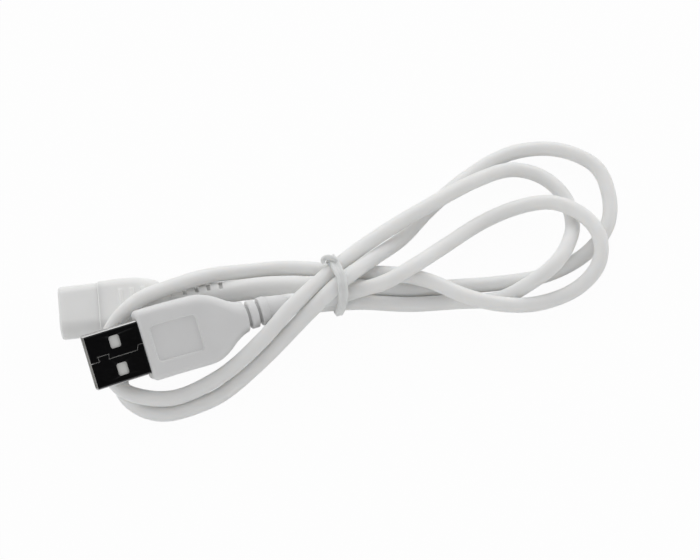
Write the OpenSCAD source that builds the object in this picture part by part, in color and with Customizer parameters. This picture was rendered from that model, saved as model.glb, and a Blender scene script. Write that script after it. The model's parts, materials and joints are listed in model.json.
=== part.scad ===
// White charging cable, wound into a loose hank and bound with a twist tie.
// One end is a USB A plug, the other a small two pole socket.
// Millimetres. The table is at z = 0 and the origin is under the middle of the hank.

/* [Cord] */
// Outer diameter of the round cord
cord_d = 3.4; // [2.6:0.1:3.5]
// Sides of the cord's plain section
cord_sides = 8; // [8:1:12]
// Diameter of each insulated core inside the moulded ends
core_d = 1.1; // [0.8:0.05:1.3]
// Distance between the middles of the two cores at the cord
core_pitch = 1.5; // [1.4:0.05:1.8]

/* [Plug shell] */
// Width of the folded shell
shell_w = 12; // [11.5:0.1:12.5]
// Height of the folded shell
shell_h = 4.5; // [4.3:0.1:4.8]
// Thickness of the sheet
shell_t = 0.3; // [0.2:0.05:0.4]
// Outside radius of the long bends
shell_r = 0.6; // [0.5:0.1:0.9]
// Length of shell that stands out of the grip
shell_out = 12; // [11:0.25:13]
// Length of shell held in the grip
shell_in = 6; // [4:0.25:8]
// Length of each latch window
window_l = 2.3; // [1.8:0.1:2.8]
// Width of each latch window
window_w = 2.7; // [2:0.1:3]
// Corner radius of each latch window
window_r = 0.5; // [0.2:0.1:0.8]
// Distance from the mouth to the middle of the windows
window_back = 6.3; // [5.5:0.1:7]
// Distance between the middles of the two windows of a face
window_pitch = 6.1; // [5:0.1:7]
// Width of the cut line where the sheet's edges meet
seam_gap = 0.14; // [0.1:0.02:0.2]
// Length of the seam's dovetail lock
dovetail_l = 2.5; // [1.5:0.1:3]
// Height of the seam's dovetail lock
dovetail_h = 1.05; // [0.6:0.05:1.4]

/* [Plug tongue and contacts] */
// Thickness of the insulating tongue
tongue_t = 1.85; // [1.6:0.05:2]
// Depth of the plug's open mouth
mouth_depth = 8.9; // [8:0.1:9.5]
// Setback of the tongue's tip from the mouth
tongue_back = 0.4; // [0.2:0.1:1]
// Width of each contact spring
contact_w = 1.1; // [0.8:0.1:1.3]
// Thickness of each contact spring
contact_t = 0.25; // [0.2:0.05:0.3]
// Rise of the rounded bump near the tip of a contact
contact_bump = 0.35; // [0.2:0.05:0.5]
// Distance between the power and the ground contact
outer_pitch = 7; // [6.8:0.1:7.2]
// Distance between the two data contacts
inner_pitch = 2; // [1.8:0.1:2.2]
// Setback of the power and ground tips from the mouth
outer_back = 1.3; // [1:0.1:1.6]
// Setback of the data tips from the mouth
inner_back = 2.3; // [2:0.1:2.8]
// Length of the solder tails behind the tongue
tail_l = 2.6; // [2:0.1:3.5]
// Length of the inner moulding over the solder joints
joint_mould_l = 5; // [4:0.25:6]

/* [Plug grip] */
// Width of the grip
grip_w = 15.5; // [14.5:0.25:17]
// Thickness of the grip
grip_h = 7.8; // [7:0.1:9]
// Length of the grip from the strain relief to its front face
grip_l = 23.7; // [21:0.25:26]
// Length of the straight part of the grip
grip_straight = 14; // [11:0.25:15]
// Radius of the edges at the front of the grip
front_r = 1; // [0.8:0.1:1.8]
// Radius of the edges at the back of the grip
back_r = 2.2; // [1.5:0.1:3]
// Width where the shoulders meet the neck
shoulder_w = 8.6; // [7.5:0.1:10]
// Distance from the neck to the end of the shoulders
shoulder_back = 3; // [2:0.1:4]
// Diameter of the neck
neck_d = 6.7; // [6:0.1:7.4]
// Length of the sunk panel on each face
panel_l = 10.4; // [8:0.1:11]
// Width of the sunk panel on each face
panel_w = 8.1; // [6:0.1:9]
// Depth of the sunk panel
panel_depth = 0.3; // [0.2:0.05:0.5]
// Distance from the front face to the panel
panel_back = 2; // [1.5:0.1:3]

/* [Plug strain relief] */
// Length of the ringed strain relief
relief_l = 5; // [4:0.1:7]
// Diameter of the rings
ring_d = 6.3; // [5.6:0.1:6.6]
// Diameter at the bottom of the grooves
groove_d = 4.6; // [4.2:0.1:5.2]
// Width of each groove
groove_w = 0.9; // [0.6:0.05:1.2]

/* [Socket] */
// Width of the nose
nose_w = 12.2; // [11:0.1:13.5]
// Height of the nose
nose_h = 6.2; // [5.8:0.1:6.8]
// Radius of the nose's round sides
nose_r = 2.8; // [2:0.1:2.9]
// Length of nose that stands out of the body
nose_l = 8.8; // [7:0.1:10]
// Radius of the corners at the mouth
nose_edge_r = 0.9; // [0.5:0.1:1.5]
// Distance between the two pins that the socket takes
pin_pitch = 5.6; // [5:0.1:6.2]
// Diameter of the pins that the socket takes
pin_d = 2; // [1.6:0.1:2.2]
// Length of pin that the socket takes
pin_l = 9; // [7:0.1:10]
// Wall of each turned sleeve
sleeve_wall = 0.35; // [0.25:0.05:0.5]
// Width of the body
body_w = 13.3; // [12.8:0.1:15]
// Height of the body between its ribs
body_h = 6.6; // [6.3:0.1:7.4]
// Length of the body from the nose to the strain relief
body_l = 14.7; // [13:0.1:17]
// Height of the finger ribs
rib_h = 0.25; // [0.15:0.05:0.4]
// Width of each finger rib
rib_w = 0.9; // [0.6:0.1:1.2]
// Length of each finger rib across the body
rib_l = 5.4; // [3:0.2:8]
// Number of finger ribs on each face
rib_count = 3; // [2:1:4]
// Distance between finger ribs
rib_pitch = 2.5; // [2.2:0.1:3]

/* [Socket strain relief] */
// Diameter of the long strain relief
boot_d = 4.6; // [4.2:0.1:4.6]
// Number of slots on each side
slot_count = 5; // [3:1:6]
// Distance between slots of one side
slot_pitch = 2.75; // [2.4:0.05:3]
// Width of each slot
slot_w = 0.8; // [0.5:0.1:1]
// Depth of each slot, which runs half way round
slot_depth = 0.55; // [0.3:0.05:0.6]

/* [Tie] */
// Width of the tie
tie_w = 2.3; // [1.8:0.1:3]
// Thickness of the tie between its rims
tie_t = 0.4; // [0.3:0.05:0.45]
// Height of the tie's two rims
tie_rim_h = 0.2; // [0.1:0.05:0.25]
// Width of each rim
tie_rim_w = 0.6; // [0.4:0.1:0.8]

/* [Clearances] */
// Gap all round the pieces that sit in moulded pockets
seat_gap = 0.05; // [0.03:0.01:0.1]
// Gap between a pin and its sleeve, on the radius
pin_gap = 0.05; // [0.03:0.01:0.08]
// Gap between the tie and the cord
tie_gap = 0.1; // [0.05:0.05:0.1]

/* [Hidden] */

white = [0.9, 0.9, 0.89];
shell_metal = [0.12, 0.12, 0.13];
contact_metal = [0.85, 0.68, 0.3];
core_red = [0.7, 0.1, 0.08];
core_black = [0.08, 0.08, 0.08];
joint_grey = [0.75, 0.75, 0.72];
eps = 0.01;

// The cord's middle line, from the plug to the socket
route = [
    [-16, -10.4, 8.2], [-11.9, -8.75, 7.75], [-7, -7.8, 6.3], [-1.5, -7, 6],
    [4, -5.5, 6.8], [10.1, -4.2, 8.3], [16.2, -0.4, 8.3], [23.2, 6.1, 5],
    [32.2, 13.6, 2.6], [40.7, 17.2, 3.4], [48.4, 17.4, 5.2], [55, 14, 5.5],
    [58.5, 8.5, 5.4], [57.9, 2.1, 3.8], [52.6, -3.2, 2.2], [44, -6.8, 2.6],
    [35.4, -7.9, 4.8], [27.5, -6.1, 5.5], [20, -2.5, 5.3], [13, -0.5, 4.6],
    [6, 0.6, 3.2], [-1.5, 1.5, 2.5], [-11.5, 2.5, 1.7], [-20.5, 1.5, 2.2],
    [-29, -1, 5], [-37, -5, 7.8], [-44.5, -9.5, 9.4], [-49.5, -15.5, 8.9],
    [-51, -22, 6.3], [-47.9, -27.8, 5.1], [-42, -30.5, 5.3], [-34.4, -29.9, 4.6],
    [-24.9, -24.8, 5.2], [-16.8, -18.3, 8.5], [-10.5, -11.4, 10.6], [-3.5, -4, 10],
    [4, 4, 7.6], [12.5, 11, 6.3], [22, 17.5, 5.7], [30.9, 23.2, 4.8],
    [39, 27.2, 2.8], [46.1, 26.2, 1.8], [51.2, 21.2, 1.7], [53, 14.5, 1.8],
    [51.7, 7.9, 4.4], [48.4, 2, 5.6], [42.8, -2.4, 4.6], [35.6, -5.3, 2],
    [26.5, -6.1, 1.7], [15.5, -6.7, 1.9], [4.5, -6.5, 2.7], [-6.5, -7, 2.1],
    [-17.5, -8, 1.7], [-28.5, -10, 1.7], [-38, -13.5, 1.7], [-44.4, -17.1, 1.7],
    [-47.8, -22.3, 1.7], [-47.2, -27.8, 1.7], [-43.3, -31.6, 1.7], [-38, -32.9, 1.7],
    [-32, -31.4, 1.7], [-25.1, -27.9, 1.8], [-16.1, -20.9, 4.4], [-7.5, -13.1, 8.8],
    [0, -5.5, 10.6], [7, 2, 6.8], [14, 9.5, 2.6], [20.5, 17.5, 1.7],
    [29.5, 26, 1.7], [39.5, 32.2, 1.7], [50, 33.3, 1.7], [58.7, 29.2, 1.7],
    [61.7, 21.6, 1.7], [60.9, 13.3, 1.7], [55.4, 5.9, 1.7], [46.2, 0.7, 1.7],
    [35.6, -1.3, 1.7], [24.5, -2, 1.7], [14.5, -3.2, 1.9], [5.5, -2.9, 3.1],
    [-3, -2.5, 2.3], [-8, -2.5, 2.3]
];

// The middle line of the socket's strain relief, behind the body
boot_bends = [
    [-34, -5.8, 3], [-29, -4.8, 2.6], [-24.5, -3.8, 2.3],
    [-20, -3, 2.3], [-15, -2.5, 2.3]
];

// Where the strands lie inside the tie, as [y, z]
tie_strands = [
    [2.1, 2.4], [-6.9, 2.4], [-7.6, 6], [-6.4, 10.7], [-4.5, 10.6], [-0.2, 9.1]
];
tie_middle = [-0.5, -3];
tie_turn = 13;

cord_end = len(route) - 1;
core_sides = 8;

// Plug: x runs from the cord's end to the mouth, z is the face with the seam
plug_lean = 30;
plug_axis = route[0] - route[1];
plug_heading = atan2(plug_axis[1], plug_axis[0]);
plug_pitch = asin(plug_axis[2] / norm(plug_axis));
grip_front = relief_l + grip_l;
plug_l = grip_front + shell_out;
shell_back = grip_front - shell_in;
shell_inside_w = shell_w - 2 * shell_t;
shell_inside_h = shell_h - 2 * shell_t;
tongue_w = shell_inside_w - 2 * seat_gap;
tongue_top = shell_inside_h / 2 - seat_gap;
tongue_bottom = tongue_top - tongue_t;
mouth_back = plug_l - mouth_depth;
contact_z = tongue_bottom - contact_t / 2;
tail_back = shell_back - tail_l;
joint_w = shell_w - 1.6;
joint_h = shell_h - 0.2;
joint_back = shell_back - joint_mould_l;
wire_z = contact_z - contact_t / 2 - core_d / 2 - seat_gap;
seam_lock_back = 1.8;
seam_step_back = 10.4;
seam_slant = 0.5;

// Socket: x runs from the mouth to the cord
socket_x = -62;
socket_y = -9.7;
socket_heading = 7.3;
socket_z = body_h / 2 + rib_h;
body_back = nose_l + body_l;
body_taper = 7.1;
rib_back = 6;
spigot_l = 5;
spigot_inset = 1.2;
sleeve_back = 1;
sleeve_r = pin_d / 2 + pin_gap;
sleeve_outer_r = sleeve_r + sleeve_wall;
cup_l = 2.2;
slot_start = 2.1;
shoulder_r = 2.2;
sleeve_end = sleeve_back + pin_l + cup_l;
boot_path = concat([socket_point([body_back - 1, 0, 0])], boot_bends, [route[cord_end]]);

// Shoulders of the body, as [distance before its end, lost width, lost height]
body_shoulders = [[3, 1.7, 0.3], [1.5, 2.6, 0.9], [0.5, 5, 1.8]];

// Vectors and paths

function unit(v) = v / norm(v);

function tangent(path, i) =
    unit(path[min(i + 1, len(path) - 1)] - path[max(i - 1, 0)]);

// One ring of a swept tube, square to the path, with a corner straight down
function ring(path, i, d, sides) =
    let (t = tangent(path, i))
    let (side = unit(cross(t, [0, 0, 1])))
    let (up = cross(side, t))
    [for (k = [0 : sides - 1])
        let (a = 360 * k / sides)
        path[i] + d / 2 * (cos(a) * side + sin(a) * up)];

function socket_point(p) =
    [socket_x + p[0] * cos(socket_heading) - p[1] * sin(socket_heading),
     socket_y + p[0] * sin(socket_heading) + p[1] * cos(socket_heading),
     socket_z + p[2]];

// Length along a path up to its point i
function path_length(path, i) =
    i == 0 ? 0 : path_length(path, i - 1) + norm(path[i] - path[i - 1]);

// Number of the stretch of a path that holds the distance s
function stretch(path, s, i = 0) =
    i >= len(path) - 2 || path_length(path, i + 1) > s ? i : stretch(path, s, i + 1);

// A path with its first and last stretch made longer
function longer(path, at_start, at_end) =
    let (n = len(path) - 1)
    [for (i = [0 : n])
        i == 0 ? path[0] - at_start * unit(path[1] - path[0]) :
        i == n ? path[n] + at_end * unit(path[n] - path[n - 1]) : path[i]];

// Shared shapes

// A tube or rod swept along a path
module swept(path, d, sides) {
    n = len(path);
    rings = [for (i = [0 : n - 1]) ring(path, i, d, sides)];
    points = [for (r = rings) for (p = r) p];
    walls = [for (i = [0 : n - 2]) for (k = [0 : sides - 1])
        let (a = i * sides + k)
        let (b = i * sides + (k + 1) % sides)
        for (f = [[a, b, b + sides], [a, b + sides, a + sides]]) f];
    start_cap = [for (k = [sides - 1 : -1 : 0]) k];
    end_cap = [for (k = [0 : sides - 1]) (n - 1) * sides + k];
    polyhedron(points = points, faces = concat(walls, [start_cap, end_cap]));
}

module rounded_rect(w, h, r) {
    square([w - 2 * r, h], center = true);
    square([w, h - 2 * r], center = true);
    for (x = [-1, 1]) for (y = [-1, 1])
        translate([x * (w / 2 - r), y * (h / 2 - r)]) circle(r = r, $fn = 32);
}

// A bar along x with a rounded section, from x = back to x = front
module bar(back, front, w, h, r) {
    translate([back, 0, 0])
        rotate([90, 0, 90])
            linear_extrude(height = front - back) rounded_rect(w, h, r);
}

// Four balls at the corners of a section, for hulls
module corner_balls(x, w, h, r) {
    for (y = [-1, 1]) for (z = [-1, 1])
        translate([x, y * (w / 2 - r), z * (h / 2 - r)]) sphere(r = r, $fn = 28);
}

module at_plug() {
    translate(route[0])
        rotate([0, -plug_pitch, plug_heading])
            rotate([-plug_lean, 0, 0])
                children();
}

module at_socket() {
    translate([socket_x, socket_y, socket_z])
        rotate([0, 0, socket_heading])
            children();
}

// Cord

module cable() {
    color(white) swept(route, cord_d, cord_sides);
}

// Plug shell

// The cut line of the seam, as seen on the face
module seam_line() {
    low = 0.2;
    high = low - dovetail_h;
    lock_front = plug_l - seam_lock_back;
    lock_back = lock_front - dovetail_l;
    step = plug_l - seam_step_back;
    flare = 0.2;
    points = [
        [plug_l + 1, low], [lock_front - flare, low], [lock_front, high],
        [lock_back, high], [lock_back + flare, low], [step, low],
        [step - seam_slant, high], [shell_back - 1, high]
    ];
    for (i = [0 : len(points) - 2]) {
        a = points[i];
        b = points[i + 1];
        translate(a)
            rotate(atan2(b[1] - a[1], b[0] - a[0]))
                translate([-seam_gap / 2, -seam_gap / 2])
                    square([norm(b - a) + seam_gap, seam_gap]);
    }
}

module latch_windows() {
    for (y = [-1, 1])
        translate([plug_l - window_back, y * window_pitch / 2, -shell_h])
            linear_extrude(height = 2 * shell_h)
                rounded_rect(window_l, window_w, window_r);
}

module plug_shell() {
    color(shell_metal)
        at_plug()
            difference() {
                bar(shell_back, plug_l, shell_w, shell_h, shell_r);
                bar(shell_back - 1, plug_l + 1, shell_inside_w, shell_inside_h,
                    shell_r - shell_t);
                latch_windows();
                linear_extrude(height = shell_h) seam_line();
            }
}

// Plug insulator and contacts

// Room for one contact, or the contact's own outline when grow is 0
module contact_slot(y, tip, grow) {
    back = tail_back - grow;
    depth = contact_t + 2 * grow;
    translate([back, y - contact_w / 2 - grow, contact_z - depth / 2])
        cube([tip + grow - back, contact_w + 2 * grow, depth]);
}

module plug_insulator() {
    color("white")
        at_plug()
            difference() {
                bar(shell_back, plug_l - tongue_back, tongue_w, 2 * tongue_top,
                    shell_r - shell_t);
                translate([mouth_back, -shell_w / 2, -shell_h])
                    cube([mouth_depth, shell_w, shell_h + tongue_bottom]);
                for (s = [-1, 1]) {
                    contact_slot(s * outer_pitch / 2, plug_l - outer_back, seat_gap);
                    contact_slot(s * inner_pitch / 2, plug_l - inner_back, seat_gap);
                }
            }
}

// A flat spring with a rounded bump near its tip
module contact(y, tip) {
    top = contact_z + contact_t / 2;
    low = contact_z - contact_t / 2;
    bump_x = tip - 1.4;
    bump_half = 1;
    outline = [
        [tail_back, top], [tip, top], [tip, low],
        [bump_x + bump_half, low],
        [bump_x + 0.4, low - contact_bump], [bump_x - 0.4, low - contact_bump],
        [bump_x - bump_half, low], [tail_back, low]
    ];
    color(contact_metal)
        at_plug()
            translate([0, y + contact_w / 2, 0])
                rotate([90, 0, 0])
                    linear_extrude(height = contact_w) polygon(outline);
}

module plug_contact_power() {
    contact(-outer_pitch / 2, plug_l - outer_back);
}

module plug_contact_data_minus() {
    contact(-inner_pitch / 2, plug_l - inner_back);
}

module plug_contact_data_plus() {
    contact(inner_pitch / 2, plug_l - inner_back);
}

module plug_contact_ground() {
    contact(outer_pitch / 2, plug_l - outer_back);
}

// One core from the cord's end to the outer contact of its side
function plug_wire_path(side) = [
    [0, side * core_pitch / 2, 0],
    [relief_l, side * core_pitch / 2, 0],
    [joint_back, side * outer_pitch / 3, wire_z],
    [tail_back + 1.8, side * outer_pitch / 2, wire_z]
];

module plug_wire_power() {
    color(core_red) at_plug() swept(plug_wire_path(-1), core_d, core_sides);
}

module plug_wire_ground() {
    color(core_black) at_plug() swept(plug_wire_path(1), core_d, core_sides);
}

module plug_wire_channels() {
    for (side = [-1, 1])
        swept(longer(plug_wire_path(side), 1, seat_gap), core_d + 2 * seat_gap, core_sides);
}

module plug_joint_mould() {
    color(joint_grey)
        at_plug()
            difference() {
                translate([joint_back, -joint_w / 2, -joint_h / 2])
                    cube([joint_mould_l - seat_gap, joint_w, joint_h]);
                for (s = [-1, 1]) {
                    contact_slot(s * outer_pitch / 2, plug_l, seat_gap);
                    contact_slot(s * inner_pitch / 2, plug_l, seat_gap);
                }
                plug_wire_channels();
            }
}

// Plug overmould

module grip_shape() {
    straight_back = grip_front - grip_straight;
    hull() {
        corner_balls(grip_front - front_r, grip_w, grip_h, front_r);
        corner_balls(straight_back, grip_w, grip_h, back_r);
    }
    hull() {
        corner_balls(straight_back, grip_w, grip_h, back_r);
        corner_balls(relief_l + shoulder_back, shoulder_w, neck_d, back_r);
    }
    hull() {
        corner_balls(relief_l + shoulder_back, shoulder_w, neck_d, back_r);
        translate([relief_l, 0, 0])
            rotate([0, 90, 0]) cylinder(d = neck_d, h = 0.5, $fn = 32);
    }
}

// The two rings and two grooves of the strain relief, as a turned shape
module relief_rings() {
    ring_w = (relief_l - 2 * groove_w) / 2;
    edge = 0.25;
    profile = [
        [0, 0], [ring_d / 2 - edge, 0], [ring_d / 2, edge],
        [ring_d / 2, ring_w - edge], [ring_d / 2 - edge, ring_w],
        [groove_d / 2, ring_w], [groove_d / 2, ring_w + groove_w],
        [ring_d / 2 - edge, ring_w + groove_w], [ring_d / 2, ring_w + groove_w + edge],
        [ring_d / 2, 2 * ring_w + groove_w - edge],
        [ring_d / 2 - edge, 2 * ring_w + groove_w],
        [groove_d / 2, 2 * ring_w + groove_w], [groove_d / 2, relief_l + 0.2],
        [0, relief_l + 0.2]
    ];
    rotate([0, 90, 0]) rotate_extrude($fn = 48) polygon(profile);
}

module sunk_panels() {
    middle = grip_front - panel_back - panel_l / 2;
    for (z = [-1, 1])
        translate([middle, 0, z * grip_h / 2])
            linear_extrude(height = 2 * panel_depth, center = true)
                rounded_rect(panel_l, panel_w, 1);
}

module plug_overmould() {
    color(white)
        at_plug()
            difference() {
                union() {
                    grip_shape();
                    relief_rings();
                }
                sunk_panels();
                bar(shell_back - seat_gap, grip_front + 1, shell_w + 2 * seat_gap,
                    shell_h + 2 * seat_gap, shell_r + seat_gap);
                translate([joint_back - seat_gap, -joint_w / 2 - seat_gap,
                    -joint_h / 2 - seat_gap])
                    cube([joint_mould_l + seat_gap, joint_w + 2 * seat_gap,
                        joint_h + 2 * seat_gap]);
                plug_wire_channels();
            }
}

// Socket

module nose_front() {
    intersection() {
        bar(0, nose_l, nose_w, nose_h, nose_r);
        translate([nose_l, 0, -nose_h])
            linear_extrude(height = 2 * nose_h)
                rounded_rect(2 * nose_l, nose_w, nose_edge_r);
        translate([nose_l, nose_w, 0])
            rotate([90, 0, 0])
                linear_extrude(height = 2 * nose_w)
                    rounded_rect(2 * nose_l, nose_h, nose_edge_r);
    }
}

module socket_nose() {
    color(white)
        at_socket()
            difference() {
                union() {
                    nose_front();
                    bar(nose_l - eps, nose_l + spigot_l, nose_w - 2 * spigot_inset,
                        nose_h - 2 * spigot_inset, nose_r - spigot_inset);
                }
                for (y = [-1, 1])
                    translate([0, y * pin_pitch / 2, 0])
                        rotate([0, 90, 0]) {
                            translate([0, 0, -1])
                                cylinder(r = sleeve_r, h = sleeve_back + 2, $fn = 48);
                            translate([0, 0, sleeve_back])
                                cylinder(r = sleeve_outer_r + seat_gap,
                                    h = nose_l + spigot_l, $fn = 48);
                        }
            }
}

// A turned sleeve that grips a pin, with a solid cup for the core behind it
module sleeve(y) {
    color(contact_metal)
        at_socket()
            translate([sleeve_back, y, 0])
                rotate([0, 90, 0])
                    difference() {
                        union() {
                            cylinder(r = sleeve_outer_r, h = pin_l + 0.6, $fn = 48);
                            cylinder(r = sleeve_outer_r - 0.4, h = pin_l + cup_l, $fn = 48);
                        }
                        translate([0, 0, -1]) cylinder(r = sleeve_r, h = pin_l + 1, $fn = 48);
                    }
}

module socket_sleeve_left() {
    sleeve(-pin_pitch / 2);
}

module socket_sleeve_right() {
    sleeve(pin_pitch / 2);
}

// One core from its sleeve to the cord's end, as places on the table
function socket_wire_path(side) =
    let (offset = [0, side * core_pitch / 2, 0])
    concat(
        [socket_point([sleeve_end, side * pin_pitch / 2, 0]),
         socket_point([sleeve_end + 2, side * pin_pitch / 2, 0])],
        [for (p = boot_path) p + offset]
    );

module socket_wire_left() {
    color(core_black) swept(socket_wire_path(-1), core_d, core_sides);
}

module socket_wire_right() {
    color(core_red) swept(socket_wire_path(1), core_d, core_sides);
}

module socket_wire_channels() {
    for (side = [-1, 1])
        swept(longer(socket_wire_path(side), spigot_l, 1), core_d + 2 * seat_gap, core_sides);
}

module body_shape() {
    edge = 0.5;
    hull() {
        bar(nose_l, nose_l + edge, body_w - edge, body_h - edge, nose_r);
        bar(nose_l + edge, body_back - body_taper, body_w, body_h, nose_r);
        for (s = body_shoulders)
            bar(body_back - s[0], body_back - s[0] + edge, body_w - s[1], body_h - s[2],
                shoulder_r);
    }
}

module finger_ribs() {
    first = body_back - rib_back - (rib_count - 1) * rib_pitch;
    for (i = [0 : rib_count - 1])
        bar(first + i * rib_pitch - rib_w / 2, first + i * rib_pitch + rib_w / 2,
            rib_l, body_h + 2 * rib_h, 0.2);
}

// Slots of the strain relief, by turns on its two sides
module boot_slots() {
    for (side = [-1, 1]) for (i = [0 : slot_count - 1]) {
        s = slot_start + i * slot_pitch + (side < 0 ? slot_pitch / 2 : 0);
        k = stretch(boot_path, s);
        v = unit(boot_path[k + 1] - boot_path[k]);
        p = boot_path[k] + v * (s - path_length(boot_path, k));
        translate(p)
            rotate([0, 0, atan2(v[1], v[0])])
                difference() {
                    translate([-slot_w / 2, side < 0 ? -boot_d : 0, -boot_d])
                        cube([slot_w, boot_d, 2 * boot_d]);
                    rotate([0, 90, 0])
                        cylinder(r = boot_d / 2 - slot_depth, h = 2 * slot_w,
                            center = true, $fn = 32);
                }
    }
}

module socket_overmould() {
    color(white)
        difference() {
            union() {
                at_socket() body_shape();
                at_socket() finger_ribs();
                difference() {
                    swept(boot_path, boot_d, 20);
                    boot_slots();
                }
            }
            at_socket() {
                bar(nose_l - 1, nose_l + spigot_l + seat_gap,
                    nose_w - 2 * spigot_inset + 2 * seat_gap,
                    nose_h - 2 * spigot_inset + 2 * seat_gap,
                    nose_r - spigot_inset + seat_gap);
            }
            socket_wire_channels();
        }
}

// Tie

module tie_outline(r) {
    hull()
        for (p = tie_strands)
            translate(p) circle(r = r, $fn = 32);
}

module tie_band(from, to, thick) {
    inner = cord_d / 2 + tie_gap;
    translate([from, 0, 0])
        rotate([90, 0, 90])
            linear_extrude(height = to - from)
                difference() {
                    tie_outline(inner + thick);
                    tie_outline(inner);
                }
}

module tie() {
    color(white)
        translate([tie_middle[0], tie_middle[1], 0])
            rotate([0, 0, tie_turn])
                translate([-tie_w / 2, -tie_middle[1], 0]) {
                    tie_band(0, tie_w, tie_t);
                    tie_band(0, tie_rim_w, tie_t + tie_rim_h);
                    tie_band(tie_w - tie_rim_w, tie_w, tie_t + tie_rim_h);
                }
}

cable();
plug_overmould();
plug_shell();
plug_insulator();
plug_joint_mould();
plug_contact_power();
plug_contact_data_minus();
plug_contact_data_plus();
plug_contact_ground();
plug_wire_power();
plug_wire_ground();
socket_nose();
socket_overmould();
socket_sleeve_left();
socket_sleeve_right();
socket_wire_left();
socket_wire_right();
tie();
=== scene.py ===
"""Looks for a white charging cable: a bound hank, a USB A plug and a small socket.

Shapes are worked out in millimetres and multiplied by MM on their way into a mesh. All else is
in metres: the cord's radius and path, the bevels and bumps, the camera and the lamps.
"""

import json
import math

import bpy
import numpy as np
from mathutils import Matrix, Vector


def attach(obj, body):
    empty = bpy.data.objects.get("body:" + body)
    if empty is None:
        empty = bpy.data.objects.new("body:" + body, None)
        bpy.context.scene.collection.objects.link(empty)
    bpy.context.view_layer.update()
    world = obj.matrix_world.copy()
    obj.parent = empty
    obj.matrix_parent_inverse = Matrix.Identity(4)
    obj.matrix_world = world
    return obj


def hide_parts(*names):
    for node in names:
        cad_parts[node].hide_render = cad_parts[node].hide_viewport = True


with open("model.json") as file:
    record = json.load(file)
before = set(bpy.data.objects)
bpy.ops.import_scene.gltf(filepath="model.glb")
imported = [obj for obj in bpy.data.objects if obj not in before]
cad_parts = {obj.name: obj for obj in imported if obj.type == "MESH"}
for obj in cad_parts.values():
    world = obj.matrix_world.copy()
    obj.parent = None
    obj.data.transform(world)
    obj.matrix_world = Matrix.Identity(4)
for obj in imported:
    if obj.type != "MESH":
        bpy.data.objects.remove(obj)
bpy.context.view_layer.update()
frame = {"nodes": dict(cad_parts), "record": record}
nodes = frame["nodes"]
MM = 0.001

# ---------------------------------------------------------------- camera

CAM_TILT = math.radians(64.0)
CAM_DISTANCE = 0.440
CAM_TARGET = Vector((0.0023, 0.00035, 0.0))
PIXELS_PER_M = 4430.0
IMAGE_W = 700
SENSOR_W = 36.0


def make_camera():
    data = bpy.data.cameras.new("camera")
    data.sensor_width = SENSOR_W
    data.sensor_fit = "HORIZONTAL"
    data.lens = PIXELS_PER_M * CAM_DISTANCE / IMAGE_W * SENSOR_W
    data.clip_start = 0.02
    camera = bpy.data.objects.new("camera", data)
    bpy.context.scene.collection.objects.link(camera)
    back = Vector((0, -math.cos(CAM_TILT), math.sin(CAM_TILT)))
    camera.location = CAM_TARGET + CAM_DISTANCE * back
    camera.rotation_euler = (math.pi / 2 - CAM_TILT, 0, 0)
    bpy.context.scene.camera = camera


make_camera()

# ---------------------------------------------------------------- materials

# Nearly all values of a noise lie between these two
NOISE_LOW, NOISE_HIGH = 0.3, 0.7
# How deep the fine grain of a plastic and the rolling marks of a metal are, in metres
GRAIN_DEPTH, SCRATCH_DEPTH = 0.00004, 0.00001
# How far light goes into the soft plastics, in metres, and how it is shared out by colour
LIGHT_REACH = 0.0024
LIGHT_RADII = (1.0, 0.95, 0.9)
# Rolling marks run along the first axis of the part
ROLLED = (0.15, 1, 1)


def material(name):
    mat = bpy.data.materials.new(name)
    mat.use_nodes = True
    tree = mat.node_tree
    return mat, tree, tree.nodes["Principled BSDF"]


def add(tree, kind, **settings):
    node = tree.nodes.new(kind)
    for key, value in settings.items():
        setattr(node, key, value)
    return node


def noise(tree, scale, detail, rough=0.5, stretch=None):
    coords = add(tree, "ShaderNodeTexCoord")
    out = add(tree, "ShaderNodeTexNoise")
    out.inputs["Scale"].default_value = scale
    out.inputs["Detail"].default_value = detail
    out.inputs["Roughness"].default_value = rough
    source = coords.outputs["Object"]
    if stretch:
        mapping = add(tree, "ShaderNodeMapping")
        mapping.inputs["Scale"].default_value = stretch
        tree.links.new(source, mapping.inputs["Vector"])
        source = mapping.outputs["Vector"]
    tree.links.new(source, out.inputs["Vector"])
    return out.outputs["Fac"]


def spread(tree, value, low, high):
    """A number between low and high, driven by a noise value."""
    node = add(tree, "ShaderNodeMapRange")
    node.inputs["From Min"].default_value = NOISE_LOW
    node.inputs["From Max"].default_value = NOISE_HIGH
    node.inputs["To Min"].default_value = low
    node.inputs["To Max"].default_value = high
    tree.links.new(value, node.inputs["Value"])
    return node.outputs["Result"]


def clouded_colour(tree, shader, colour, tone, scale):
    """The base colour, with slow clouds in it that are darker by the share tone."""
    clouds = spread(tree, noise(tree, scale, detail=2), 0, 1)
    node = add(tree, "ShaderNodeMix", data_type="RGBA")
    node.inputs["A"].default_value = (*colour, 1)
    node.inputs["B"].default_value = (*(c * (1 - tone) for c in colour), 1)
    tree.links.new(clouds, node.inputs["Factor"])
    tree.links.new(node.outputs["Result"], shader.inputs["Base Color"])


def bump(tree, shader, value, strength, distance):
    node = add(tree, "ShaderNodeBump")
    node.inputs["Strength"].default_value = strength
    node.inputs["Distance"].default_value = distance
    tree.links.new(value, node.inputs["Height"])
    tree.links.new(node.outputs["Normal"], shader.inputs["Normal"])


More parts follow.
